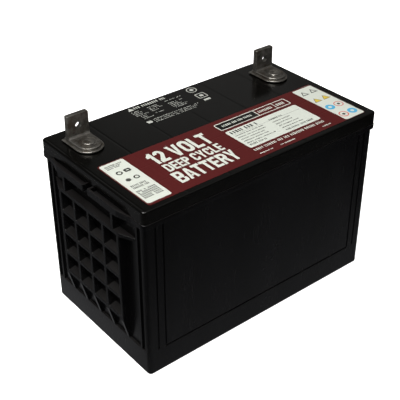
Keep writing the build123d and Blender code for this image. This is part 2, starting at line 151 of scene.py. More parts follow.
def smooth_line(t, coord, at, half, pitch=None):
    """1 on the line coord = at, falling to 0 half a width away. Metres."""
    if pitch:
        f = t.math("DIVIDE", coord, pitch)
        d = t.math("MULTIPLY", t.math("ABSOLUTE", t.math("SUBTRACT", f, t.math("ROUND", f))), pitch)
    else:
        d = t.math("ABSOLUTE", t.math("SUBTRACT", coord, at))
    u = t.math("SUBTRACT", 1.0, t.math("DIVIDE", d, half), clamp=True)
    return t.math("MULTIPLY", u, u)


# ------------------------------------------------------------------ materials
def case_plastic():
    """Black polypropylene of the case: drawn walls, fine grain, faint scuffs, and painted light on faces that point up.
    """
    t = Tree("case_plastic")
    flow = t.noise(22.0, 3, 0.5, t.scaled((1.0, 1.0, 0.12)))
    patch = t.noise(38.0, 4, 0.6)
    grain = t.noise(2600.0, 2, 0.6)
    col = t.mix(t.ramp(flow, [(0.35, 0.0), (0.7, 1.0)]), (0.0009, 0.00085, 0.00095), (0.0019, 0.0018, 0.0021))
    dust = t.math("MULTIPLY", t.ramp(t.noise(620.0, 4, 0.75), [(0.62, 0.0), (0.78, 1.0)]),
                  t.ramp(patch, [(0.45, 0.0), (0.75, 1.0)]))
    col = t.mix(t.math("MULTIPLY", dust, 0.04), col, (0.10, 0.10, 0.10))
    # fine rubbing marks, mostly upright, left by trays and packing
    rub = t.ramp(t.noise(900.0, 2, 0.5, t.scaled((1.0, 1.0, 0.02))), [(0.66, 0.0), (0.73, 1.0)])
    rub = t.math("MULTIPLY", rub, t.ramp(t.noise(16.0, 2), [(0.5, 0.0), (0.68, 1.0)]))
    col = t.mix(t.math("MULTIPLY", rub, 0.022), col, (0.08, 0.08, 0.08))
    # painted light: faces that point up, the shelves and pocket floors, are given a lighter colour and a rougher finish
    nx, ny, nz = t.normal()
    up = t.math("MULTIPLY", t.math("SUBTRACT", nz, 0.55), 2.6, clamp=True)
    up = t.math("MULTIPLY", up, t.ramp(patch, [(0.2, 0.55), (0.8, 1.0)]))
    col = t.mix(t.math("MULTIPLY", up, 0.42), col, (0.020, 0.0175, 0.017))
    r = t.math("ADD", t.math("MULTIPLY", patch, 0.12), 0.15)
    r = t.math("ADD", r, t.math("MULTIPLY", up, 0.25))
    r = t.math("ADD", r, t.math("MULTIPLY", flow, 0.08))
    r = t.math("ADD", r, t.math("MULTIPLY", rub, 0.12))
    b = t.bump(flow, 0.0006, 0.12)
    b = t.bump(grain, 0.00006, 0.35, b)
    return t.set(color=col, rough=r, spec=0.5, normal=b)


def lid_plastic():
    """Black polypropylene of the lid: satin, with faint sink lines over the partitions."""
    t = Tree("lid_plastic")
    x, y, z = t.xyz()
    patch = t.noise(30.0, 4, 0.55)
    grain = t.noise(1900.0, 3, 0.6)
    col = t.mix(patch, (0.0009, 0.00085, 0.0007), (0.0018, 0.0017, 0.0014))
    dust = t.math("MULTIPLY", t.ramp(t.noise(700.0, 4, 0.75), [(0.60, 0.0), (0.76, 1.0)]),
                  t.ramp(t.noise(14.0, 3), [(0.42, 0.0), (0.7, 1.0)]))
    col = t.mix(t.math("MULTIPLY", dust, 0.10), col, (0.11, 0.105, 0.095))
    swirl = t.ramp(t.noise(260.0, 2, 0.5, t.scaled((0.15, 1.0, 1.0)), 1.2), [(0.64, 0.0), (0.70, 1.0)])
    r = t.math("ADD", t.math("MULTIPLY", patch, 0.12), 0.10)
    r = t.math("ADD", r, t.math("MULTIPLY", swirl, 0.05))
    sink = smooth_line(t, x, 0.0, 0.0022, pitch=0.0505)
    b = t.bump(t.math("MULTIPLY", sink, -1.0), 0.00022, 0.55)
    b = t.bump(grain, 0.00007, 0.4, b)
    return t.set(color=col, rough=r, spec=0.5, normal=b)


def terminal_lead():
    """Cast lead, tarnished to a warm grey, with a painted highlight on its fillets and on its faces that point
    diagonally.
    """
    t = Tree("terminal_lead")
    big = t.noise(150.0, 6, 0.72)
    fine = t.noise(900.0, 4, 0.7)
    pits = t.voronoi(1100.0)
    col = t.mix(t.ramp(big, [(0.3, 0.0), (0.72, 1.0)]), (0.085, 0.078, 0.070), (0.31, 0.295, 0.27))
    col = t.mix(t.math("MULTIPLY", t.ramp(fine, [(0.5, 0.0), (0.75, 1.0)]), 0.55), col, (0.30, 0.285, 0.25))
    bloom = t.ramp(t.noise(260.0, 5, 0.75), [(0.60, 0.0), (0.72, 1.0)])
    col = t.mix(t.math("MULTIPLY", bloom, 0.35), col, (0.36, 0.345, 0.31))
    stain = t.ramp(t.noise(85.0, 4, 0.6), [(0.50, 0.0), (0.62, 1.0)])
    col = t.mix(t.math("MULTIPLY", stain, 0.55), col, (0.085, 0.058, 0.036))
    nx, ny, nz = t.normal()
    # painted highlight: fillets whose normals tilt up, and the diagonal faces of the posts, are lightened in patches
    rim = t.math("SUBTRACT", 1.0, t.math("MULTIPLY", t.math("ABSOLUTE", t.math("SUBTRACT", nz, 0.58)), 2.6), clamp=True)
    post = t.math("MULTIPLY", t.math("ABSOLUTE", t.math("MULTIPLY", nx, ny)), 1.6, clamp=True)
    painted_edge_highlight = t.math("MULTIPLY", t.math("MAXIMUM", rim, t.math("MULTIPLY", post, 0.4)),
                  t.ramp(fine, [(0.30, 0.25), (0.62, 1.0)]))
    col = t.mix(t.math("MULTIPLY", painted_edge_highlight, 0.8), col, (0.62, 0.60, 0.56))
    r = t.math("ADD", t.math("MULTIPLY", big, 0.20), 0.22)
    r = t.math("ADD", r, t.math("MULTIPLY", bloom, 0.12))
    b = t.bump(big, 0.0009, 0.7)
    b = t.bump(t.ramp(pits, [(0.0, 0.0), (0.35, 1.0)]), 0.00008, 0.5, b)
    b = t.bump(fine, 0.00012, 0.55, b)
    return t.set(color=col, rough=r, metal=0.82, spec=0.5, normal=b)


def inner_lead():
    """Clean cast lead of the straps and welds."""
    t = Tree("inner_lead")
    big = t.noise(160.0, 4, 0.6)
    fine = t.noise(1300.0, 3, 0.65)
    col = t.mix(big, (0.26, 0.265, 0.275), (0.44, 0.445, 0.455))
    r = t.math("ADD", t.math("MULTIPLY", fine, 0.25), 0.30)
    b = t.bump(big, 0.0003, 0.5)
    b = t.bump(fine, 0.0001, 0.5, b)
    return t.set(color=col, rough=r, metal=0.9, normal=b)


def rubber(name, lo, hi, rough):
    t = Tree(name)
    n = t.noise(420.0, 4, 0.6)
    g = t.noise(2400.0, 2, 0.6)
    col = t.mix(n, lo, hi)
    r = t.math("ADD", t.math("MULTIPLY", g, 0.18), rough)
    b = t.bump(g, 0.00008, 0.5)
    return t.set(color=col, rough=r, spec=0.4, normal=b)


def porous_plastic():
    t = Tree("porous_plastic")
    v = t.voronoi(3200.0)
    n = t.noise(900.0, 3)
    col = t.mix(t.ramp(v, [(0.1, 0.0), (0.55, 1.0)]), (0.50, 0.49, 0.45), (0.86, 0.85, 0.81))
    col = t.mix(t.math("MULTIPLY", n, 0.25), col, (0.70, 0.68, 0.60))
    b = t.bump(v, 0.0001, 0.8)
    return t.set(color=col, rough=0.85, normal=b)


def plate_paste(name, lo, hi, rough):
    """Pasted grid: a cross-hatch of the grid's wires under rough paste."""
    t = Tree(name)
    x, y, z = t.xyz()
    wires = t.math("MAXIMUM", smooth_line(t, y, 0, 0.0011, pitch=0.0095),
                   smooth_line(t, z, 0, 0.0008, pitch=0.0042))
    n = t.noise(800.0, 5, 0.7)
    col = t.mix(n, lo, hi)
    col = t.mix(t.math("MULTIPLY", wires, 0.35), col, tuple(1.6 * v for v in hi))
    b = t.bump(wires, 0.0003, 0.6)
    b = t.bump(n, 0.0002, 0.7, b)
    return t.set(color=col, rough=rough, normal=b)


def glass_mat():
    t = Tree("glass_mat")
    a = t.noise(1500.0, 4, 0.7, t.scaled((1.0, 0.15, 1.0)))
    b2 = t.noise(1500.0, 4, 0.7, t.scaled((1.0, 1.0, 0.15)))
    f = t.math("MAXIMUM", a, b2)
    col = t.mix(f, (0.70, 0.70, 0.67), (0.92, 0.92, 0.90))
    b = t.bump(f, 0.0002, 0.8)
    return t.set(color=col, rough=0.9, sheen=0.3, normal=b)


def film(t, col, rough=0.30):
    """Printed film: shared surface of the label's inks, with the crease over the vent cover."""
    x, y, z = t.xyz()
    crease = t.math("MAXIMUM", smooth_line(t, y, -0.024, 0.0014), smooth_line(t, y, -0.054, 0.0014))
    sink = smooth_line(t, x, 0.0, 0.0025, pitch=0.0505)
    wave = t.noise(26.0, 3, 0.5)
    grain = t.noise(1700.0, 2, 0.6)
    r = t.math("ADD", t.math("MULTIPLY", t.noise(60.0, 3), 0.10), rough - 0.05)
    b = t.bump(t.math("MULTIPLY", t.math("MAXIMUM", crease, t.math("MULTIPLY", sink, 0.35)), -1.0), 0.00016, 0.8)
    b = t.bump(wave, 0.0004, 0.25, b)
    b = t.bump(grain, 0.00003, 0.3, b)
    return t.set(color=col, rough=r, spec=0.45, normal=b)


def ink(name, lo, hi, rough=0.32, scale=240.0):
    t = Tree(name)
    n = t.noise(scale, 4, 0.6)
    m = t.noise(18.0, 2)
    col = t.mix(n, lo, hi)
    col = t.mix(t.math("MULTIPLY", t.ramp(m, [(0.4, 0.0), (0.7, 1.0)]), 0.12), col,
                tuple(0.82 * v for v in lo))
    return film(t, col, rough)


M = {
    "case_plastic": case_plastic(),
    "lid_plastic": lid_plastic(),
    "terminal_lead": terminal_lead(),
    "inner_lead": inner_lead(),
    "seal_rubber": rubber("seal_rubber", (0.012, 0.012, 0.012), (0.028, 0.028, 0.028), 0.6),
    "valve_rubber": rubber("valve_rubber", (0.016, 0.016, 0.018), (0.034, 0.034, 0.038), 0.55),
    "porous_plastic": porous_plastic(),
    "positive_plate": plate_paste("positive_plate", (0.075, 0.035, 0.026), (0.135, 0.068, 0.05), 0.88),
    "negative_plate": plate_paste("negative_plate", (0.20, 0.21, 0.22), (0.34, 0.35, 0.36), 0.8),
    "glass_mat": glass_mat(),
    "label_film": ink("label_film", (0.068, 0.0062, 0.0064), (0.086, 0.0090, 0.009)),
}
INK_WHITE = ink("ink_white", (0.60, 0.635, 0.575), (0.68, 0.71, 0.65))
INK_BLACK = ink("ink_black", (0.004, 0.004, 0.004), (0.010, 0.0095, 0.009))
INK_GREY = ink("ink_grey", (0.045, 0.045, 0.042), (0.085, 0.085, 0.08))
INK_YELLOW = ink("ink_yellow", (0.62, 0.46, 0.05), (0.72, 0.55, 0.08))
INK_BLUE = ink("ink_blue", (0.06, 0.36, 0.62), (0.09, 0.44, 0.70))
INK_RED = ink("ink_red", (0.55, 0.07, 0.05), (0.64, 0.11, 0.08))
PAD_WHITE = ink("pad_print_white", (0.40, 0.41, 0.38), (0.58, 0.59, 0.55), 0.4, 420.0)

for sub in frame["record"]["subparts"]:
    o = nodes.get(sub["node"])
    if o is None:
        continue
    m = M[sub["material_slot"]]
    o.data.materials.clear()
    o.data.materials.append(m)

# ----------------------------------------------------------------- label art
FILM_TOP = 200.36          # mm, top of the maroon film
LID_TOP = 200.2
rng = random.Random(27)


def loc(x, y):
    """Print positions were measured from the lid's own edges; this sets them on the lid."""
    return (0.99434 * x + 0.00212 * y + 0.78, -0.0026 * x + 1.00398 * y + 0.15)


def add_prism(bm, outline, z0, z1):
    a = [bm.verts.new((x * MM, y * MM, z0 * MM)) for x, y in outline]
    b = [bm.verts.new((x * MM, y * MM, z1 * MM)) for x, y in outline]
    n = len(outline)
    area = sum(outline[i][0] * outline[(i + 1) % n][1] - outline[(i + 1) % n][0] * outline[i][1]
               for i in range(n))
    if area < 0:
        a.reverse(), b.reverse()
    bm.faces.new(list(reversed(a)))
    bm.faces.new(b)
    for i in range(n):
        j = (i + 1) % n
        bm.faces.new((a[i], a[j], b[j], b[i]))


def add_ring(bm, outer, inner, z0, z1):
    """Band between two closed outlines with the same number of points, both anticlockwise."""
    n = len(outer)
    v = [[bm.verts.new((x * MM, y * MM, z * MM)) for x, y in o] for o in (outer, inner) for z in (z0, z1)]
    o0, o1, i0, i1 = v
    for k in range(n):
        j = (k + 1) % n
        bm.faces.new((o0[k], o0[j], o1[j], o1[k]))
        bm.faces.new((i0[j], i0[k], i1[k], i1[j]))
        bm.faces.new((o1[k], o1[j], i1[j], i1[k]))
        bm.faces.new((o0[j], o0[k], i0[k], i0[j]))


def rect(x0, x1, y0, y1, r=0.0, seg=5):
    x0, x1 = sorted((x0, x1))
    y0, y1 = sorted((y0, y1))
    if r <= 0:
        return [(x0, y0), (x1, y0), (x1, y1), (x0, y1)]
    pts = []
    for cx, cy, a0 in ((x1 - r, y0 + r, -90), (x1 - r, y1 - r, 0), (x0 + r, y1 - r, 90), (x0 + r, y0 + r, 180)):
        for i in range(seg + 1):
            a = math.radians(a0 + 90 * i / seg)
            pts.append((cx + r * math.cos(a), cy + r * math.sin(a)))
    return pts


def circle(cx, cy, r, n=28):
    return [(cx + r * math.cos(2 * math.pi * i / n), cy + r * math.sin(2 * math.pi * i / n)) for i in range(n)]


def tri(cx, cy, w, h):
    return [(cx - w / 2, cy - h / 2), (cx + w / 2, cy - h / 2), (cx, cy + h / 2)]


def bar(x0, y0, x1, y1, w):
    d = math.hypot(x1 - x0, y1 - y0)
    nx, ny = -(y1 - y0) / d * w / 2, (x1 - x0) / d * w / 2
    return [(x0 - nx, y0 - ny), (x1 - nx, y1 - ny), (x1 + nx, y1 + ny), (x0 + nx, y0 + ny)]


class Art:
    """One printed layer: closed prisms of one ink, riding on the battery."""

    def __init__(self, name, z0, z1, mat):
        self.name, self.z0, self.z1, self.mat = name, z0, z1, mat
        self.bm = bmesh.new()

    def poly(self, pts):
        add_prism(self.bm, pts, self.z0, self.z1)

    def ring(self, outer, inner):
        add_ring(self.bm, outer, inner, self.z0, self.z1)

    def caps(self, x0, x1, yc, h):
        """A line of stand-in capitals: even upright blocks grouped as words, with no letter shapes."""
        x = x0
        while x < x1 - h * 0.4:
            for _ in range(rng.randint(3, 8)):
                w = h * rng.uniform(0.36, 0.52)
                if x + w > x1:
                    x = x1
                    break
                self.poly(rect(x, x + w * rng.uniform(0.55, 0.85), yc - h / 2, yc + h / 2))
                x += w + h * 0.17
            x += h * 0.45

    def greek(self, x0, x1, yc, h, fill=1.0, gap=0.28):
        """A line of stand-in text: small blocks grouped as words, with no letter shapes."""
        x = x0
        while x < x1 - h * 0.4:
            for _ in range(rng.randint(3, 8)):
                w = h * rng.uniform(0.42, 0.78)
                if x + w > x1:
                    x = x1
                    break
                top = h * (0.5 if rng.random() < 0.45 else 0.32)
                low = -h * (0.5 if rng.random() < 0.15 else 0.34)
                if rng.random() < fill:
                    self.poly(rect(x, x + w, yc + low, yc + top))
                x += w + h * gap
            x += h * 0.55

    def finish(self):
        me = bpy.data.meshes.new(self.name)
        bmesh.ops.recalc_face_normals(self.bm, faces=self.bm.faces)
        self.bm.to_mesh(me)
        self.bm.free()
        me.materials.append(self.mat)
        o = bpy.data.objects.new(self.name, me)
        bpy.context.scene.collection.objects.link(o)
        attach(o, "battery")
        return o


Z1 = FILM_TOP + 0.03
Z2 = Z1 + 0.03
Z3 = Z2 + 0.03


def box_at(x0, x1, y0, y1):
    (a, b), (c, d) = loc(x0, y0), loc(x1, y1)
    return a, c, b, d


# white panels
panels = Art("label_white_panels", FILM_TOP, Z1, INK_WHITE)
panels.poly(rect(*box_at(-142.8, -114.8, 2.4, -77.9), r=2.4))
panels.poly(rect(*box_at(115.4, 144.0, 2.1, -79.9), r=2.4))
panels.poly(rect(*box_at(-3.4, 97.0, -21.3, -61.3), r=2.6))
panels.finish()

# big words of the label, generic, in white: plain heavy capitals built from bars and bands
def rounded(x0, x1, y0, y1, radii, seg=4):
    """Rectangle with its own radius at each corner: lower left, lower right, upper right, upper left."""
    ll, lr, ur, ul = radii
    pts = []
    for cx, cy, r, a0 in ((x0 + ll, y0 + ll, ll, 180), (x1 - lr, y0 + lr, lr, 270),
                          (x1 - ur, y1 - ur, ur, 0), (x0 + ul, y1 - ul, ul, 90)):
        for i in range(seg + 1):
            a = math.radians(a0 + 90 * i / seg)
            pts.append((cx + r * math.cos(a), cy + r * math.sin(a)))
    return pts


def arc_band(cx, cy, rx, ry, tx, ty, a0, a1, seg=14):
    """Part of an elliptical band, from angle a0 to a1 in degrees."""
    out = [(cx + rx * math.cos(math.radians(a0 + (a1 - a0) * i / seg)),
            cy + ry * math.sin(math.radians(a0 + (a1 - a0) * i / seg))) for i in range(seg + 1)]
    inn = [(cx + (rx - tx) * math.cos(math.radians(a1 - (a1 - a0) * i / seg)),
            cy + (ry - ty) * math.sin(math.radians(a1 - (a1 - a0) * i / seg))) for i in range(seg + 1)]
    return out, inn


def glyph(ch, s, h):
    """(width, polygons, bands) of one capital. s is the width of an upright, h that of a level stroke; height 1."""
    w = 0.66
    P, B = [], []

    def bowl(y0, y1, x1, r=0.2, x0=0.0):
        B.append((rounded(x0 + s, x1, y0, y1, (0.001, r, r, 0.001)),
                  rounded(x0 + s + 0.001, x1 - s, y0 + h, y1 - h, (0.001, r * 0.45, r * 0.45, 0.001))))

    if ch == "E":
        w = 0.56
        P += [rect(0, s, 0, 1), rect(s, w, 0, h), rect(s, w, 1 - h, 1), rect(s, w - 0.04, 0.5 - h / 2, 0.5 + h / 2)]
    elif ch == "L":
        w = 0.54
        P += [rect(0, s, 0, 1), rect(s, w, 0, h)]
    elif ch == "T":
        w = 0.60
        P += [rect(w / 2 - s / 2, w / 2 + s / 2, 0, 1 - h), rect(0, w, 1 - h, 1)]
    elif ch == "1":
        w = 0.42
        P += [rect(w - s, w, 0, 1), [(w - s, 0.64), (w - s, 1.0), (w - s - 0.02, 0.93), (0.02, 0.80), (0.02, 0.64)]]
    elif ch == "D":
        P += [rect(0, s, 0, 1)]
        bowl(0, 1, w, 0.27)
    elif ch == "P":
        w = 0.63
        P += [rect(0, s, 0, 1)]
        bowl(0.40, 1, w, 0.24)
    elif ch == "B":
        P += [rect(0, s, 0, 1)]
        low = (1 - h) / 2
        bowl(low, 1, w - 0.02, 0.17)
        arc = lambda cx, cy, r, a0, a1: [(cx + r * math.cos(math.radians(a0 + (a1 - a0) * i / 4)),
                                          cy + r * math.sin(math.radians(a0 + (a1 - a0) * i / 4))) for i in range(5)]
        P += [[(s, 0)] + arc(w - 0.17, 0.17, 0.17, -90, 0) + [(w, low - 0.08), (w - 0.06, low), (w - s, low)]
              + arc(w - s - 0.07, h + 0.07, 0.07, 0, -90) + [(s, h)]]
    elif ch == "R":
        P += [rect(0, s, 0, 1)]
        bowl(0.40, 1, w - 0.01, 0.24)
        P += [[(w - s - 0.13, 0.40), (w - s + 0.02, 0.0), (w + 0.03, 0.0), (w - 0.12, 0.42)]]
    elif ch == "O":
        B.append((rounded(0, w, 0, 1, (0.28,) * 4), rounded(s, w - s, h, 1 - h, (0.12,) * 4)))
    elif ch == "C":
        w = 0.64
        inner = rounded(s, w - s, h, 1 - h, (0.12,) * 4)
        outer = rounded(0, w, 0, 1, (0.27,) * 4)
        k = len(outer) // 4
        # outer from lower right, clockwise to upper right; inner back again
        op = list(reversed(outer[k:2 * k])) + list(reversed(outer[:k])) + list(reversed(outer[3 * k:])) + list(
            reversed(outer[2 * k:3 * k]))
        ip = inner[2 * k:3 * k] + inner[3 * k:] + inner[:k] + inner[k:2 * k]
        P.append([(w, 0.36)] + op + [(w, 0.64), (w - s, 0.64)] + ip + [(w - s, 0.36)])
    elif ch == "V":
        w = 0.68
        P += [[(0, 1), (w / 2 - s * 0.5, 0), (w / 2 + s * 0.5, 0), (w, 1), (w - s * 1.02, 1), (w / 2, 0.26), (s * 1.02, 1)]]
    elif ch == "Y":
        w = 0.66
        P += [[(0, 1), (w / 2 - s / 2, 0.40), (w / 2 - s / 2, 0), (w / 2 + s / 2, 0), (w / 2 + s / 2, 0.40), (w, 1),
               (w - s * 1.06, 1), (w / 2, 0.60), (s * 1.06, 1)]]
    elif ch == "A":
        w = 0.70
        ax = w / 2
        P = [[(0, 0), (s, 0), (ax, 0.76), (ax, 1), (ax - s * 0.56, 1)],
             [(w, 0), (ax + s * 0.56, 1), (ax, 1), (ax, 0.76), (w - s, 0)],
             [(s + 0.055, 0.20), (w - s - 0.055, 0.20), (w - s - 0.11, 0.20 + h * 0.85), (s + 0.11, 0.20 + h * 0.85)]]
    elif ch == "2":
        w = 0.60
        out, inn = arc_band(w / 2, 0.70, w / 2, 0.30, s, h, 178, -38)
        P += [out + inn]
        x0, y0 = out[-1]
        x1, y1 = inn[0]
        P += [[(x1, y1), (0.02, h), (0.34, h), (x0, y0)], rect(0, w, 0, h)]
    return w, P, B


def words(name, text, x0, x1, y0, y1, s=0.21, h=0.19, gap=0.075):
    art = Art(name, FILM_TOP, Z1, INK_WHITE)
    at, got = 0.0, []
    for ch in text:
        if ch == " ":
            at += 0.26
            continue
        w, P, B = glyph(ch, s, h)
        got.append((at, P, B))
        at += w + gap
    total = at - gap
    kx, ky = (x1 - x0) / total, y1 - y0
    put = lambda pts, dx: [(x0 + (px + dx) * kx, y0 + py * ky) for px, py in pts]
    for dx, P, B in got:
        for pts in P:
            art.poly(put(pts, dx))
        for o, i in B:
            art.ring(put(o, dx), put(i, dx))
    return art.finish()


words("label_word_1", "12 VOLT", -95.6, -21.6, -28.9, -6.3)
words("label_word_2", "DEEP CYCLE", -92.5, -22.5, -46.9, -32.3)
words("label_word_3", "BATTERY", -95.6, -20.4, -69.9, -50.0)

# outlined bar with a black box
frame_art = Art("label_bar_frame", FILM_TOP, Z1, INK_WHITE)
a = box_at(-3.4, 97.0, -2.5, -16.5)
frame_art.ring(rect(*a, r=2.2), rect(a[0] + 1.1, a[1] - 1.1, min(a[2:]) + 1.1, max(a[2:]) - 1.1, r=1.3))
for xs in (51.0, 78.0):
    q = box_at(xs - 0.5, xs + 0.5, -3.6, -15.4)
    frame_art.poly(rect(*q))
frame_art.caps(loc(54.5, 0)[0], loc(75.5, 0)[0], loc(64, -9.5)[1], 4.2)
frame_art.caps(loc(81.0, 0)[0], loc(94.5, 0)[0], loc(88, -9.5)[1], 4.8)
frame_art.finish()
blackbox = Art("label_black_box", FILM_TOP, Z1, INK_BLACK)
blackbox.poly(rect(*box_at(-2.0, 50.4, -3.9, -15.1), r=1.0))
blackbox.finish()
boxtext = Art("label_black_box_lines", Z1, Z2, INK_WHITE)
boxtext.caps(loc(3.5, 0)[0], loc(45.5, 0)[0], loc(25, -9.5)[1], 3.7)
boxtext.finish()

# spec panel lines
spec = Art("label_spec_lines", Z1, Z2, INK_GREY)
bold = Art("label_spec_heading", Z1, Z2, INK_BLACK)
bold.caps(loc(0.5, 0)[0], loc(38, 0)[0], loc(0, -26.3)[1], 5.6)
bold.caps(loc(50.5, 0)[0], loc(70, 0)[0], loc(0, -29.8)[1], 2.6)
bold.caps(loc(0.5, 0)[0], loc(24, 0)[0], loc(0, -56.5)[1], 2.8)
bold.caps(loc(50.5, 0)[0], loc(90, 0)[0], loc(0, -56.5)[1], 2.8)
bold.finish()
for x0, x1, rows in ((0.5, 46.0, (-34.0, -38.5, -43.0, -47.5, -52.0)), (50.5, 94.0, (-36.0, -41.0, -46.0, -51.0))):
    for yy in rows:
        n = rng.uniform(0.55, 1.0)
        spec.greek(loc(x0, 0)[0], loc(x0 + (x1 - x0) * n, 0)[0], loc(0, yy)[1], 1.9)
x = 0.5
while x < 94:
    q = box_at(x, x + 0.9, -30.9, -31.4)
    spec.poly(rect(*q))
    x += 1.7
spec.finish()

# lines under the spec panel
lower = Art("label_lower_lines", FILM_TOP, Z1, INK_WHITE)
lower.caps(loc(-3.4, 0)[0], loc(96.6, 0)[0], loc(0, -66.9)[1], 3.9)
for x0, x1 in ((-3.4, 14.0), (24.4, 46.0), (84.6, 97.4)):
    lower.greek(loc(x0, 0)[0], loc(x1, 0)[0], loc(0, -75.3)[1], 2.0)
lower.finish()

# left panel
lp = Art("label_left_lines", Z1, Z2, INK_GREY)
lx = lambda v: v - 153.0
ly = lambda v: 86.1 - v
for yy in (88.5, 91.0, 93.5):
    lp.greek(loc(lx(14), 0)[0], loc(lx(34 - (yy - 88.5)), 0)[0], loc(-130, ly(yy))[1], 1.9, 1.0, 0.2)
for yy in (142.0, 145.2, 148.4, 151.6, 154.8):
    for k in range(10):
        if rng.random() < 0.97:
            cx, cy = loc(lx(14.0 + 2.2 * k), ly(yy))
            lp.poly(rect(cx - 0.72, cx + 0.72, cy - 1.1, cy + 1.1))
cx, cy = loc(lx(20), ly(120))
lp.poly(circle(cx, cy, 2.8, 20))
lp.finish()
lb = Art("label_left_marks", Z1, Z2, INK_BLACK)
for yy in (131.5, 135.5):
    lb.caps(loc(lx(14.5), 0)[0], loc(lx(33), 0)[0], loc(-130, ly(yy))[1], 2.9)
cx, cy = loc(lx(20), ly(105))
lb.ring(circle(cx, cy, 3.4, 20), circle(cx, cy, 1.9, 20))
cx, cy = loc(lx(29.5), ly(104.5))
lb.ring(rect(cx - 3.6, cx + 3.6, cy - 2.8, cy + 2.8, 1.6), rect(cx - 1.6, cx + 1.6, cy - 0.8, cy + 0.8, 0.4))
cx, cy = loc(lx(29.5), ly(120))
lb.ring(circle(cx, cy, 3.2, 20), circle(cx, cy, 1.8, 20))
lb.finish()

# right panel: plain coloured shapes only
ry = Art("label_right_yellow", Z1, Z2, INK_YELLOW)
rb = Art("label_right_blue", Z1, Z2, INK_BLUE)
rr = Art("label_right_red", Z1, Z2, INK_RED)
rk = Art("label_right_outlines", Z1, Z2, INK_BLACK)
rt = Art("label_right_inner", Z2, Z3, INK_BLACK)
rw = Art("label_right_white", Z2, Z3, INK_WHITE)
for col_i, xc in enumerate((123.0, 136.0)):
    cx, cy = loc(xc, -8.9)
    rk.ring(tri(cx, cy, 9.8, 8.6), tri(cx, cy - 0.5, 6.2, 5.2))
    cx, cy = loc(xc, -28.4)
    ry.poly(tri(cx, cy, 10.4, 9.0))
    rk2 = tri(cx, cy, 10.4, 9.0)
    rt.ring(rk2, tri(cx, cy - 0.25, 8.8, 7.4))
    for row, yc in enumerate((-49.3, -69.3)):
        cx, cy = loc(xc, yc)
        if (row + col_i) % 2 == 0:
            rb.poly(circle(cx, cy, 5.5))
            rw.poly(circle(cx, cy, 2.2, 18))
        else:
            rr.ring(circle(cx, cy, 5.6), circle(cx, cy, 4.5))
            rt.poly(circle(cx, cy, 1.8, 18))
for part in (ry, rb, rr, rk, rt, rw):
    part.finish()

# white print on the bare rear of the lid
P0, P1 = LID_TOP, LID_TOP + 0.03
pr = Art("lid_print", P0, P1, PAD_WHITE)
cx, cy = loc(lx(103.5), ly(5.2))
pr.poly(tri(cx, cy, 7.6, 6.2))
pr.caps(loc(lx(108.5), 0)[0], loc(lx(153), 0)[0], loc(-20, ly(5.4))[1], 4.4)
for i, yy in enumerate((12.5, 15.6, 18.7, 21.8, 24.9, 28.0, 31.1)):
    xs0 = 100.5 if i < 5 else 104.0
    for a0, a1 in ((xs0, 118.0), (121.0, 141.0), (145.0, 172.0)):
        if (i, a0) in ((1, 145.0), (4, 121.0), (6, 121.0)):
            continue
        pr.greek(loc(lx(a0), 0)[0], loc(lx(a0 + (a1 - a0) * rng.uniform(0.45, 0.95)), 0)[0], loc(-20, ly(yy))[1], 1.45, 0.9, 0.5)
cx, cy = loc(lx(185), ly(9))
pr.ring(circle(cx, cy, 6.2, 32), circle(cx, cy, 5.2, 32))
pr.poly(circle(cx, cy, 2.4, 20))
cx, cy = loc(lx(185.5), ly(26))
pr.ring(rect(cx - 6.2, cx + 6.2, cy - 5.6, cy + 5.6, 1.2), rect(cx - 5.2, cx + 5.2, cy - 4.6, cy + 4.6, 0.7))
pr.poly(rect(cx - 2.4, cx + 2.4, cy - 2.0, cy + 2.0, 0.5))
cx, cy = loc(lx(185), ly(37))
pr.poly(rect(cx - 4.4, cx + 4.4, cy - 1.8, cy + 1.8, 0.6))
cx, cy = loc(lx(104), ly(40.5))
pr.poly(rect(cx - 3.0, cx + 3.0, cy - 2.4, cy + 2.4, 0.6))
for yy in (38.0, 41.0, 44.0):
    pr.greek(loc(lx(110), 0)[0], loc(lx(172 - (yy - 38)), 0)[0], loc(-20, ly(yy))[1], 1.5, 0.9, 0.5)
pr.finish()

# ---------------------------------------------------------------- the studio
def stage_plane(name, size, z, mat, cx=0.0, cy=0.0):
    me = bpy.data.meshes.new(name)
    s = size / 2
    me.from_pydata([(cx - s, cy - s, z), (cx + s, cy - s, z), (cx + s, cy + s, z), (cx - s, cy + s, z)], [], [(0, 1, 2, 3)])
    me.materials.append(mat)
    o = bpy.data.objects.new(name, me)
    bpy.context.scene.collection.objects.link(o)
    return o


def stage_material(name, color, emit, rough=0.9):
    m = bpy.data.materials.new(name)
    m.use_nodes = True
    b = m.node_tree.nodes["Principled BSDF"]
    b.inputs["Base Color"].default_value = (*color, 1)
    b.inputs["Roughness"].default_value = rough
    b.inputs["Specular IOR Level"].default_value = 0.0
    b.inputs["Emission Color"].default_value = (*color, 1)
    b.inputs["Emission Strength"].default_value = emit
    return m


floor = stage_plane("floor", 14.0, 0.0, stage_material("floor_paper", (0.95, 0.95, 0.95), 0.98))
floor.visible_glossy = False

# card under the floor, seen only in the plastic's gloss
card_mat = bpy.data.materials.new("card")
card_mat.use_nodes = True
ct = card_mat.node_tree
ct.nodes.clear()
co = ct.nodes.new("ShaderNodeTexCoord").outputs["Object"]
sep = ct.nodes.new("ShaderNodeSeparateXYZ")
ct.links.new(co, sep.inputs[0])


def cmath(op, a, b=0.0, clamp=False):
    n = ct.nodes.new("ShaderNodeMath")
    n.operation = op
    n.use_clamp = clamp
    for s, v in zip(n.inputs, (a, b)):
        if isinstance(v, bpy.types.NodeSocket):
            ct.links.new(v, s)
        else:
            s.default_value = v
    return n.outputs[0]


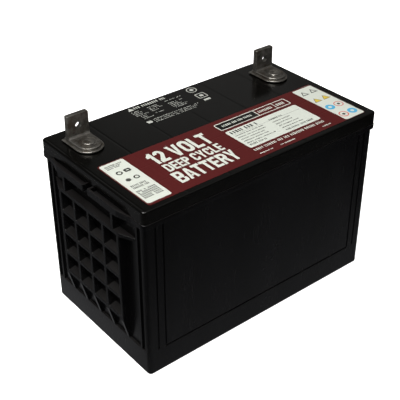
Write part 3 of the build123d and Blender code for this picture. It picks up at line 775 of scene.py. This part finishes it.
# darker towards the front (-Y), lighter to the rear and left
fy = cmath("DIVIDE", cmath("ADD", sep.outputs["Y"], 0.42), 0.42, clamp=True)
fy = cmath("MULTIPLY", fy, fy)
lvl = cmath("ADD", cmath("MULTIPLY", fy, 0.165), 0.028)
rear = cmath("DIVIDE", cmath("ADD", sep.outputs["Y"], 0.08), 0.30, clamp=True)
lvl = cmath("ADD", lvl, cmath("MULTIPLY", rear, 0.05))
end = cmath("DIVIDE", cmath("ADD", sep.outputs["X"], 0.215), 0.05, clamp=True)
lvl = cmath("MULTIPLY", lvl, cmath("ADD", cmath("MULTIPLY", cmath("MULTIPLY", end, end), 0.56), 0.44))
side = cmath("ADD", cmath("ADD", sep.outputs["X"], cmath("MULTIPLY", sep.outputs["Y"], 0.81)), -0.10)
side = cmath("SUBTRACT", 1.0, cmath("DIVIDE", side, 0.07), clamp=True)
lvl = cmath("MULTIPLY", lvl, cmath("ADD", cmath("MULTIPLY", side, 0.88), 0.12))
em = ct.nodes.new("ShaderNodeEmission")
em.inputs["Color"].default_value = (0.96, 0.97, 1.0, 1)
ct.links.new(lvl, em.inputs["Strength"])
outn = ct.nodes.new("ShaderNodeOutputMaterial")
ct.links.new(em.outputs[0], outn.inputs["Surface"])
card = stage_plane("reflection_card", 6.0, -0.002, card_mat)
card.visible_camera = False
card.visible_diffuse = False
card.visible_shadow = False

# white backdrop all round, seen by the camera only
me = bpy.data.meshes.new("backdrop")
bm = bmesh.new()
bmesh.ops.create_uvsphere(bm, u_segments=48, v_segments=24, radius=6.8)
for f in bm.faces:
    f.normal_flip()
bm.to_mesh(me)
bm.free()
bd_mat = stage_material("backdrop_paper", (1.0, 1.0, 1.0), 1.05)
me.materials.append(bd_mat)
backdrop = bpy.data.objects.new("backdrop", me)
bpy.context.scene.collection.objects.link(backdrop)
for flag in ("visible_diffuse", "visible_glossy", "visible_transmission", "visible_shadow"):
    setattr(backdrop, flag, False)

# room light, brighter to the rear at the height that the lid mirrors
world = bpy.data.worlds.new("room")
bpy.context.scene.world = world
world.use_nodes = True
wt = world.node_tree
wt.nodes.clear()
wco = wt.nodes.new("ShaderNodeTexCoord").outputs["Generated"]
bg = wt.nodes.new("ShaderNodeBackground")
wo = wt.nodes.new("ShaderNodeOutputWorld")
wt.links.new(bg.outputs[0], wo.inputs[0])


def wdot(direction):
    n = wt.nodes.new("ShaderNodeVectorMath")
    n.operation = "DOT_PRODUCT"
    wt.links.new(wco, n.inputs[0])
    n.inputs[1].default_value = Vector(direction).normalized()
    return n.outputs["Value"]


def wramp(fac, stops):
    n = wt.nodes.new("ShaderNodeMapRange")
    n.interpolation_type = "SMOOTHSTEP"
    n.inputs["From Min"].default_value, n.inputs["From Max"].default_value = stops[0], stops[1]
    n.inputs["To Min"].default_value, n.inputs["To Max"].default_value = stops[2], stops[3]
    wt.links.new(fac, n.inputs["Value"])
    return n.outputs[0]


def wadd(a, b):
    n = wt.nodes.new("ShaderNodeMath")
    n.operation = "ADD"
    wt.links.new(a, n.inputs[0])
    wt.links.new(b, n.inputs[1])
    return n.outputs[0]


def wmul(a, b):
    n = wt.nodes.new("ShaderNodeMath")
    n.operation = "MULTIPLY"
    for sock, v in zip(n.inputs, (a, b)):
        if isinstance(v, bpy.types.NodeSocket):
            wt.links.new(v, sock)
        else:
            sock.default_value = v
    return n.outputs[0]


# a long bright band low behind the battery, which the lid mirrors; it ends towards the left and upwards
up_z = wdot((0.0, 0.0, 1.0))
glow = wmul(wramp(up_z, (0.478, 0.575, 1.0, 0.10)), wramp(up_z, (0.10, 0.42, 0.15, 1.0)))
glow = wmul(glow, wramp(wdot((1.0, 0.0, 0.0)), (0.40, 0.485, 0.28, 1.0)))
glow = wmul(glow, wramp(wdot((1.0, 0.0, 0.0)), (0.62, 0.70, 1.0, 0.55)))
glow = wmul(wmul(glow, wramp(wdot((0.0, 1.0, 0.0)), (0.15, 0.45, 0.0, 1.0))), 0.150)
sky = wramp(up_z, (0.60, 0.96, 0.012, 0.34))
wt.links.new(wadd(glow, sky), bg.inputs["Strength"])
bg.inputs["Color"].default_value = (1.0, 0.985, 0.95, 1)


def area(name, at, target, size, size_y, power, color=(1, 1, 1), glossy=True):
    d = bpy.data.lights.new(name, "AREA")
    d.shape = "RECTANGLE"
    d.size, d.size_y = size, size_y
    d.energy = power
    d.color = color
    o = bpy.data.objects.new(name, d)
    bpy.context.scene.collection.objects.link(o)
    o.location = at
    o.rotation_euler = (Vector(target) - Vector(at)).to_track_quat("-Z", "Y").to_euler()
    o.visible_glossy = glossy
    return o


area("key", (-0.72, -0.36, 1.36), (0, 0, 0.15), 0.8, 0.6, 21.0, (1.0, 0.995, 0.97))
area("top_fill", (0.2, 0.9, 2.4), (0, 0, 0.15), 1.8, 1.2, 22.0, (1.0, 0.99, 0.97), glossy=False)

# ---------------------------------------------------------------- the camera
cam = bpy.data.cameras.new("camera")
cam.sensor_fit = "HORIZONTAL"
cam.sensor_width = 36.0
cam.lens = 78.76
cam.clip_start, cam.clip_end = 0.05, 30.0
cam.dof.use_dof = False
co_cam = bpy.data.objects.new("camera", cam)
bpy.context.scene.collection.objects.link(co_cam)
right = Vector((0.77575297, -0.63103655, -0.00045686))
up = Vector((0.3471378, 0.42614254, 0.83540282))
back = Vector((-0.52697503, -0.64822481, 0.54963798))
m = Matrix((right, up, back)).transposed().to_4x4()
m.translation = Vector((-0.51884, -0.61632, 0.63595))
co_cam.matrix_world = m
bpy.context.scene.camera = co_cam

bpy.context.scene.view_settings.view_transform = "Standard"
bpy.context.scene.view_settings.look = "None"
